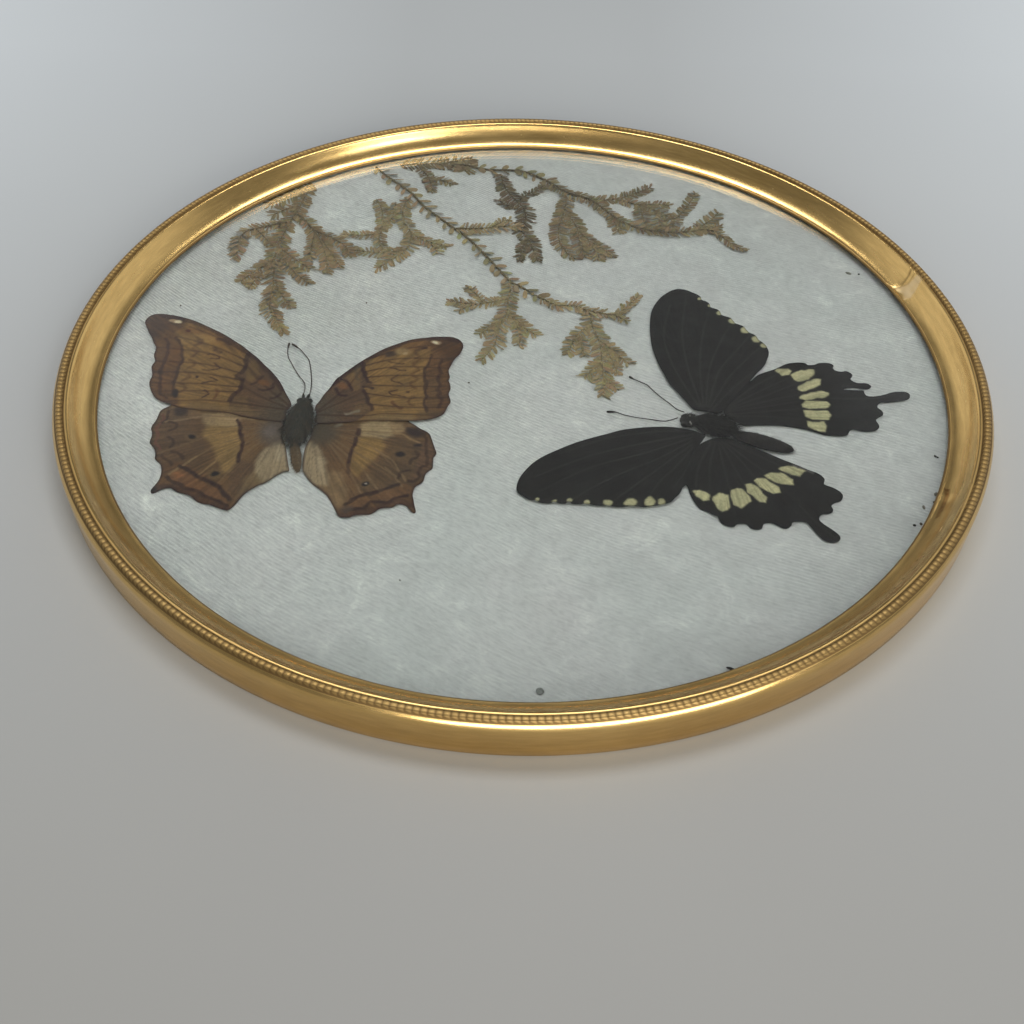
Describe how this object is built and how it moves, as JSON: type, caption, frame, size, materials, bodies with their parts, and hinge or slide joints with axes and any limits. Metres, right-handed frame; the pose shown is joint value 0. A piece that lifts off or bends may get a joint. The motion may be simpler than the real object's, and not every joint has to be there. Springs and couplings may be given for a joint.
{
  "type": "framed butterfly specimen",
  "caption": "Round brass frame that shows pressed butterflies and fern sprigs on pale satin under glass; lies flat or hangs on a wall.",
  "frame": {"origin": "middle of the rim's bottom edge, on the surface that the frame lies on", "axes": "+Z out of the glass; +Y towards the top of the picture; +X towards the black butterfly's side"},
  "size_m": [0.203, 0.203, 0.0095],
  "materials": {
    "stamped_brass": "satin stamped sheet with a milled edge",
    "window_glass": "clear polished",
    "pale_satin": "pale grey-blue satin with fine slanting ribs",
    "grey_card": "matt pressed card",
    "plated_steel": "brass-plated",
    "brown_wing": "dry scaled wing, ochre with dark bands",
    "brown_hair": "matt, hairy",
    "black_wing": "dry scaled wing, black with cream spots",
    "black_hair": "matt, hairy",
    "dried_fern": "dry and matt"
  },
  "bodies": {
    "root": {"rim": "stamped_brass", "glass": "window_glass", "cloth": "pale_satin", "backing_board": "grey_card", "hanger": "plated_steel", "brown_left_forewing": "brown_wing", "brown_right_forewing": "brown_wing", "brown_left_hindwing": "brown_wing", "brown_right_hindwing": "brown_wing", "brown_body": "brown_hair", "brown_left_antenna": "brown_hair", "brown_right_antenna": "brown_hair", "black_upper_forewing": "black_wing", "black_lower_forewing": "black_wing", "black_upper_hindwing": "black_wing", "black_lower_hindwing": "black_wing", "black_body": "black_hair", "black_upper_antenna": "black_hair", "black_lower_antenna": "black_hair", "fern_left_stem": "dried_fern", "fern_left_hook": "dried_fern", "fern_left_side": "dried_fern", "fern_middle_stem": "dried_fern", "fern_middle_cluster": "dried_fern", "fern_middle_side": "dried_fern", "fern_middle_spray": "dried_fern", "fern_middle_drop": "dried_fern", "fern_top_stem": "dried_fern", "fern_top_dark": "dried_fern", "fern_top_fan": "dried_fern", "fern_top_right": "dried_fern", "fern_top_tip": "dried_fern", "fern_top_twig": "dried_fern", "fern_top_left": "dried_fern"}
  },
  "joints": []
}
